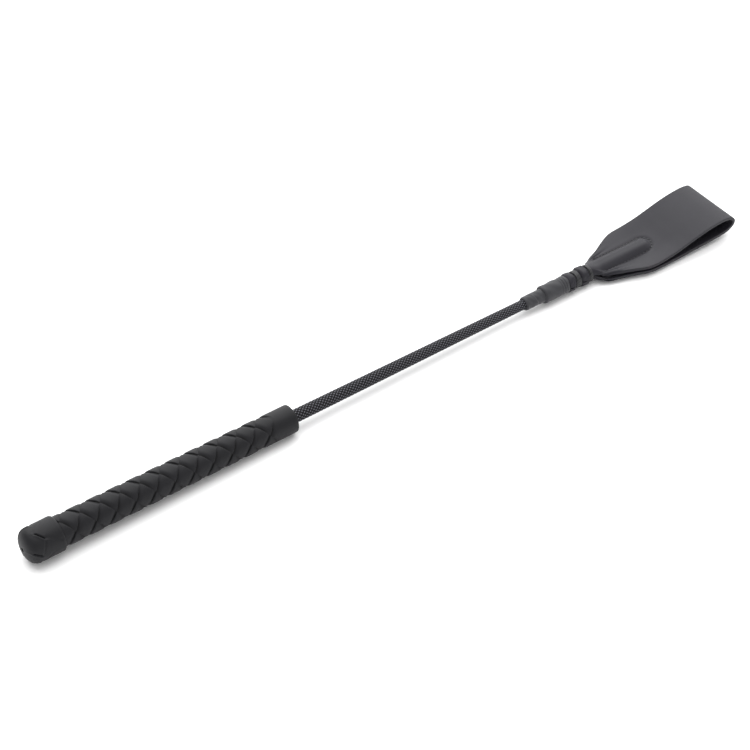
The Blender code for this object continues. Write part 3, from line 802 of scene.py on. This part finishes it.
def leaf_places(x, level, side, across):
    """Middle of the leather at x, for a point that lies across from the strip's centre by that much."""
    width = half_width(x)
    firm = np.minimum(FIRM_HALF, 0.75 * width)
    outer = firm + (np.abs(across) - FIRM_HALF) * (width - firm) / (HALF_WIDTH - FIRM_HALF)
    y_flat = np.where(np.abs(across) < FIRM_HALF, across * firm / FIRM_HALF, np.sign(across) * outer)
    edge = smooth(7.0, HALF_WIDTH, np.abs(across))

    # the leather rises over the rod, and the stitches pull it down beside it
    away = np.hypot(y_flat, np.maximum(x - SEAM_TURN_X, 0.0))
    fall = np.clip((away - RIDGE_FLAT) / (RIDGE_FOOT - RIDGE_FLAT), 0.0, 1.0)
    top = np.cos(0.5 * math.pi * fall) ** 2
    near_rod = x < ROD_PASSED
    z_flat = level + np.where(near_rod, (side * ROD_RIDGE - level) * top, 0.0)
    sink = SEAM_SINK * np.exp(-((seam_distance(x, across) / SEAM_GROOVE) ** 2)) * near_rod
    z_flat -= side * sink

    # the lower leaf comes out of the neck full and low, and only flattens further on
    droop = smooth(373.5, 378.0, x) * (1.0 - smooth(380.0, 402.0, x)) * smooth(3.5, 9.0, np.abs(across))
    droop = np.where(side < 0.0, droop, 0.0)
    z_flat -= DROOP_DOWN * droop
    y_flat += DROOP_OUT * np.sign(across) * droop

    # the edges spring apart past the neck, and the gathers run out into the flat of each leaf
    spring = smooth(378.0, 402.0, x) * (1.0 - smooth(414.0, 440.0, x)) * edge
    z_flat += np.where(side > 0.0, SPRING_UP, -SPRING_DOWN) * spring
    gather = smooth(374.5, 379.0, x) * (1.0 - smooth(383.0, 400.0, x)) * smooth(3.5, 7.0, np.abs(across))
    phase = 2.0 * math.pi * np.abs(across) / GATHER_STEP + 0.6 + 0.5 * np.sign(across)
    z_flat += side * GATHER_HEIGHT * gather * np.sin(phase)

    # round the neck the strip is a half tube, in folds between the whippings
    turn = NECK_TURN * across / HALF_WIDTH
    radius = BULGE_RADIUS - (BULGE_RADIUS - WAIST_RADIUS) * squeeze(x)
    crumple = (1.0 - squeeze(x)) * smooth(NECK_START, NECK_START + 1.5, x)
    folds = 0.16 * np.sin(4.0 * turn + 0.9 * x) + 0.12 * np.sin(7.0 * turn - 1.3 * x + side)
    radius = radius + crumple * folds
    radius = radius - 0.5 * LEATHER * thickness_share(x, HALF_WIDTH)
    radius = radius - NECK_LIP * (1.0 - smooth(NECK_START, NECK_START + 1.0, x))
    y_neck = radius * np.sin(turn)
    z_neck = side * radius * np.cos(turn)

    # past the neck it opens out, first to the sides and then flat
    open_out = smooth(374.0, 382.0, x)
    y = y_neck + (y_flat - y_neck) * smooth(373.5, 379.0, x)
    z = z_neck + (z_flat - z_neck) * open_out
    return y, z


inner = np.arange(0.0, 4.5, 0.75)
at_seam = np.arange(4.5, 7.0, 0.25)
outer = np.linspace(7.0, HALF_WIDTH, 15)
half_columns = np.concatenate([inner, at_seam, outer])
strip_columns = np.concatenate([-half_columns[:0:-1], half_columns])
strip_rows = strip_route()
tongue, row, column = grid("tongue_leather", len(strip_rows), len(strip_columns))
x, level, leaf_side = strip_rows[row].T
across = strip_columns[column]
y, z = leaf_places(x, level, leaf_side, across)
move_points(tongue, np.stack([x, y, z], axis=1))
# closeness to the seam, which the leather's material reads to paint shade in the seam's groove
store(tongue, "seam", np.exp(-((seam_distance(x, across) / 1.1) ** 2)) * (x < ROD_PASSED))
skived = tongue.vertex_groups.new(name="skived")
for index, share in enumerate(thickness_share(x, across)):
    skived.add([index], float(share), "REPLACE")
solid = tongue.modifiers.new("thickness", "SOLIDIFY")
solid.thickness = LEATHER
solid.offset = 0.0
solid.vertex_group = "skived"
solid.material_offset = 1
solid.material_offset_rim = 2
bpy.ops.object.modifier_apply(modifier="thickness")
soften = tongue.modifiers.new("edge", "BEVEL")
soften.width = 0.22
soften.segments = 2
soften.limit_method = "ANGLE"
soften.angle_limit = math.radians(60.0)
bpy.ops.object.modifier_apply(modifier="edge")


def finished_leather():
    """Corrected-grain cowhide: dyed through, pressed with a fine pebble 0.55 mm across and sprayed with a
    satin finish. Painted shade darkens it a little in the groove where the seam pulls it in."""
    material = new_material("cowhide_finished")
    place = add(material, "ShaderNodeTexCoord").outputs["Object"]
    seam = add(material, "ShaderNodeAttribute", attribute_name="seam").outputs["Fac"]
    pebble = add(
        material,
        "ShaderNodeTexVoronoi",
        {"Vector": place, "Scale": 1.0 / (0.55 * MM)},
        feature="DISTANCE_TO_EDGE",
    ).outputs["Distance"]
    # pores of about 0.1 mm are drawn at 0.3 mm to show; the dye clouds over 14 mm
    pores = add(
        material, "ShaderNodeTexNoise", {"Vector": place, "Scale": 1.0 / (0.3 * MM), "Detail": 2.0}
    ).outputs["Fac"]
    cloud = add(
        material, "ShaderNodeTexNoise", {"Vector": place, "Scale": 1.0 / (14.0 * MM), "Detail": 3.0}
    ).outputs["Fac"]
    tones = {"Factor": cloud, FIRST: colour("#201f24"), SECOND: colour("#26252b")}
    dye = add(material, "ShaderNodeMix", tones, data_type="RGBA").outputs[MIXED]
    # painted shade: the leather is darkened a little along the seam's groove
    painted_seam_shade = add(material, "ShaderNodeMath", {0: seam, 1: 0.4}, operation="MULTIPLY").outputs[0]
    tones = {"Factor": painted_seam_shade, FIRST: dye, SECOND: colour("#1f1f22")}
    tone = add(material, "ShaderNodeMix", tones, data_type="RGBA").outputs[MIXED]
    rough = add(
        material,
        "ShaderNodeMapRange",
        {"Value": pores, "From Min": 0.3, "From Max": 0.7, "To Min": 0.46, "To Max": 0.58},
    ).outputs["Result"]
    grain = add(
        material, "ShaderNodeMath", {0: pores, 1: 0.5, 2: pebble}, operation="MULTIPLY_ADD"
    ).outputs[0]
    bump = add(
        material, "ShaderNodeBump", {"Height": grain, "Strength": 0.3, "Distance": 0.06 * MM}
    ).outputs["Normal"]
    wire(material, shader_of(material), {"Base Color": tone, "Roughness": rough, "Normal": bump})
    shader_of(material).inputs["Specular IOR Level"].default_value = 0.22
    return material


# The flesh side of the same hide: unfinished and dyed near black, with a short soft nap in tufts of 0.6 mm.
suede = speckled("cowhide_suede", 0.6, 5.0, "#151517", "#2c2b2f", rough=0.92, bump=0.6, bump_height=0.15)
shader_of(suede).inputs["Sheen Weight"].default_value = 0.12

# The cut edge of the strip, rubbed to a low shine: fibres that black edge ink lays down together, so that
# they show as a roughness of about 0.4 mm.
inked_edge = speckled(
    "cowhide_edge_inked", 0.4, 4.0, "#232326", "#3b3a3f", rough=0.6, bump=0.4, bump_height=0.08
)

lay(tongue, [finished_leather(), suede, inked_edge], crease=50.0)
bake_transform(tongue)
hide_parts("tongue_root_upper", "tongue_root_lower", "tongue_loop")


# --- Whippings --------------------------------------------------------------------
# Waxed black linen thread wound tight round the neck in two bands, turn against turn, with both ends drawn
# under. It squeezes the leather on to the shaft.

THREAD_PITCH = 1.15
THREAD_HALF = 0.62            # a little over half the pitch, so that the turns press together
WOUND_RADIUS = 4.62
TURN_ROWS = 40                # rows of faces in one turn
THREAD_SIDES = 10             # faces round the thread
TUCK_ROWS = 14.0              # rows over which each end thins and is drawn under
TUCK_DEPTH = 0.5


def whipping(name, start, turns):
    """The thread as one long roll along its helix, thin where each end is drawn under."""
    rows = turns * TURN_ROWS + 1
    piece, row, column = grid(name, rows, THREAD_SIDES + 1)
    turn = 2.0 * math.pi * turns * row / (rows - 1)
    x = start + 0.5 * THREAD_PITCH + (turns - 1) * THREAD_PITCH * row / (rows - 1)
    tuck = smooth(0.0, TUCK_ROWS, row) * smooth(0.0, TUCK_ROWS, rows - 1 - row)
    spin = 2.0 * math.pi * column / THREAD_SIDES
    thick = THREAD_HALF * (0.45 + 0.55 * tuck)
    reach = WOUND_RADIUS - TUCK_DEPTH * (1.0 - tuck) + thick * np.cos(spin)
    x = x + thick * np.sin(spin)
    move_points(piece, np.stack([x, -reach * np.sin(turn), reach * np.cos(turn)], axis=1))
    close_up(piece)
    return piece


def waxed_thread(name, along, around):
    """Waxed linen thread: black, two plies twisted together, with a dull waxy shine painted as a lighter band on
    each ply.
    """
    material = new_material(name)
    strand = add(material, "ShaderNodeUVMap", uv_map="UVMap").outputs["UV"]
    twist = add(
        material, "ShaderNodeMapping", {"Vector": strand, "Scale": (around, along, 1.0)}
    ).outputs["Vector"]
    plies = add(
        material,
        "ShaderNodeTexWave",
        {"Vector": twist, "Scale": 1.0, "Distortion": 0.4},
        bands_direction="DIAGONAL",
    ).outputs["Fac"]
    # painted highlight: the lighter tone on each ply's band stands for its waxy shine
    tones = {"Factor": plies, FIRST: colour("#101012"), SECOND: colour("#29292c")}
    tone = add(material, "ShaderNodeMix", tones, data_type="RGBA").outputs[MIXED]
    bump = add(
        material, "ShaderNodeBump", {"Height": plies, "Strength": 0.5, "Distance": 0.08 * MM}
    ).outputs["Normal"]
    wire(material, shader_of(material), {"Base Color": tone, "Roughness": 0.5, "Normal": bump})
    return material


for name, node_name, start, turns in (
    ("whipping_rear_wound", "whipping_rear", REAR_WAIST[0], 4),
    ("whipping_front_wound", "whipping_front", FRONT_WAIST[0], 3),
):
    # 12 to a turn of 29 mm sets one ply every 1.5 mm of thread
    thread = waxed_thread(name + "_thread", along=12.0 * turns, around=2.0)
    wound = whipping(name, start, turns)
    lay(wound, [thread], crease=70.0)
    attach(wound, "shaft_end")
    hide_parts(node_name)


# --- Seam -------------------------------------------------------------------------
# The two leaves are sewn together in a U round the end of the rod with black waxed thread, one stitch every
# 2.4 mm. Each stitch goes down through the leather at both its ends.

STITCH_STEP = 2.4
STITCH_LENGTH = 1.55
STITCH_HALF = 0.32
STITCH_LIFT = 0.10            # a stitch's middle stands this far above the leather


def seam_route():
    """(x, y, heading) of each stitch, along one side, round the rod's end and back."""
    straight = SEAM_TURN_X - SEAM_START
    round_end = math.pi * SEAM_HALF_WIDTH
    length = 2.0 * straight + round_end
    count = round(length / STITCH_STEP)
    places = []
    for index in range(count):
        gone = (index + 0.5) * length / count
        if gone < straight:
            places.append((SEAM_START + gone, -SEAM_HALF_WIDTH, 0.0))
        elif gone < straight + round_end:
            bend = (gone - straight) / SEAM_HALF_WIDTH
            x = SEAM_TURN_X + SEAM_HALF_WIDTH * math.sin(bend)
            places.append((x, -SEAM_HALF_WIDTH * math.cos(bend), bend))
        else:
            places.append((SEAM_START + length - gone, SEAM_HALF_WIDTH, math.pi))
    return places


def leaf_level(x, side):
    """Height of one leaf's middle at x, read from the strip's own rows."""
    rows = strip_rows[strip_rows[:, 2] == side]
    order = np.argsort(rows[:, 0])
    return float(np.interp(x, rows[order, 0], rows[order, 1]))


def stitches(name, side):
    """All the stitches of one leaf, as one object."""
    bpy.ops.object.select_all(action="DESELECT")
    made = []
    for x, y, heading in seam_route():
        place = np.array([x]), np.array([leaf_level(x, side)]), np.array([side]), np.array([y])
        y_leaf, z_leaf = (float(value[0]) for value in leaf_places(*place))
        lift = side * (0.5 * LEATHER * float(thickness_share(x, y)) + STITCH_LIFT)
        bpy.ops.mesh.primitive_uv_sphere_add(segments=12, ring_count=8, radius=1.0)
        stitch = bpy.context.object
        size = Matrix.Diagonal((0.5 * STITCH_LENGTH, STITCH_HALF, STITCH_HALF, 1.0))
        spot = Matrix.Translation((x, y_leaf, z_leaf + lift))
        stitch.data.transform(spot @ Matrix.Rotation(heading, 4, "Z") @ size)
        made.append(stitch)
    for stitch in made:
        stitch.select_set(True)
    bpy.context.view_layer.objects.active = made[0]
    bpy.ops.object.join()
    piece = bpy.context.object
    piece.name = name
    piece.data.name = name
    return piece


stitch_thread = waxed_thread("stitch_thread_waxed", along=3.0, around=1.0)
for name, node_name, side_sign in (
    ("stitches_upper", "seam_thread_upper", 1.0),
    ("stitches_lower", "seam_thread_lower", -1.0),
):
    sewn = stitches(name, side_sign)
    lay(sewn, [stitch_thread], crease=80.0)
    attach(sewn, "shaft_end")
    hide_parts(node_name)


# --- Table, light and camera ------------------------------------------------------
# The crop lies on a wide white sweep under one very large, soft lamp above and behind it, with light
# thrown back evenly from all round. The camera looks down on it from one side, from beyond its butt.

CAMERA_PLACE = Vector((-306.6, -722.6, 810.9))   # millimetres, measured on the crop's own line
CAMERA_HEADING = math.radians(-36.12)
CAMERA_TILT = math.radians(47.86)

bpy.ops.object.select_all(action="DESELECT")
bpy.ops.mesh.primitive_plane_add(size=16.0, location=(0.0, 0.0, 0.0))
table = bpy.context.object
table.name = "table_sweep"
paper = new_material("paper_white")
paper_place = add(paper, "ShaderNodeTexCoord").outputs["Object"]
# the tooth of fine paper, 1.5 mm across, hardly changes its tone
paper_tooth = add(
    paper, "ShaderNodeTexNoise", {"Vector": paper_place, "Scale": 1.0 / (1.5 * MM), "Detail": 2.0}
).outputs["Fac"]
tones = {"Factor": paper_tooth, FIRST: colour("#f6f6f6"), SECOND: colour("#fafafa")}
paper_tone = add(paper, "ShaderNodeMix", tones, data_type="RGBA").outputs[MIXED]
wire(paper, shader_of(paper), {"Base Color": paper_tone, "Roughness": 0.95})
shader_of(paper).inputs["Specular IOR Level"].default_value = 0.0
table.data.materials.append(paper)

room = bpy.data.worlds.new("studio_room")
room.use_nodes = True
room.node_tree.nodes["Background"].inputs["Color"].default_value = (1.0, 1.0, 1.0, 1.0)
room.node_tree.nodes["Background"].inputs["Strength"].default_value = 0.9
bpy.context.scene.world = room

lamp_data = bpy.data.lights.new("soft_lamp", "SUN")
lamp_data.energy = 4.1
lamp_data.angle = math.radians(90.0)
lamp = bpy.data.objects.new("soft_lamp", lamp_data)
lamp_from = Vector((0.45, 0.60, 1.0))
lamp.rotation_euler = lamp_from.to_track_quat("Z", "Y").to_euler()
bpy.context.collection.objects.link(lamp)

camera_data = bpy.data.cameras.new("camera")
camera_data.lens = 105.53
camera_data.sensor_width = 36.0
camera = bpy.data.objects.new("camera", camera_data)
camera_turn = Matrix.Rotation(CAMERA_HEADING, 4, "Z") @ Matrix.Rotation(CAMERA_TILT, 4, "X")
camera.matrix_world = LINE @ Matrix.Translation(CAMERA_PLACE * MM) @ camera_turn
bpy.context.collection.objects.link(camera)
bpy.context.scene.camera = camera
bpy.context.scene.view_settings.view_transform = "Standard"
